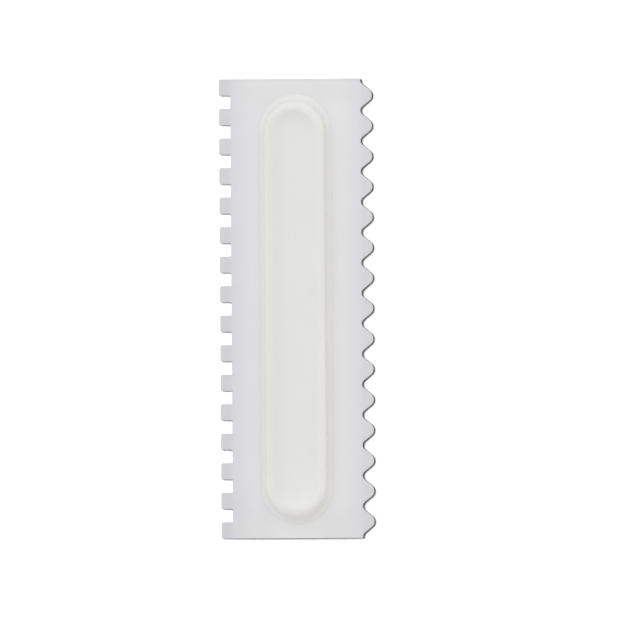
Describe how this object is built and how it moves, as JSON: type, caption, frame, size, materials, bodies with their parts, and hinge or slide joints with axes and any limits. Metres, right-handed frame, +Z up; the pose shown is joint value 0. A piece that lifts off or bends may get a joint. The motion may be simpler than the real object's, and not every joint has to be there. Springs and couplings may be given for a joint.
{
  "type": "icing smoother",
  "caption": "Flat plastic icing comb with square teeth along its left side, round waves along its right, and a raised hollow grip with a dished top along the middle.",
  "frame": {"origin": "centre of the flat back, midway between the tooth tips and the wave crests and midway along the blade", "axes": "+X across the blade towards the waved side, +Y along the blade, +Z up out of the grip"},
  "size_m": [0.073, 0.218, 0.01],
  "materials": {
    "blade_plastic": "cool white moulded plastic, satin, slightly translucent",
    "grip_plastic": "warm ivory-white moulded plastic, satin"
  },
  "bodies": {
    "root": {"comb_blade": "blade_plastic", "grip": "grip_plastic"}
  },
  "joints": []
}
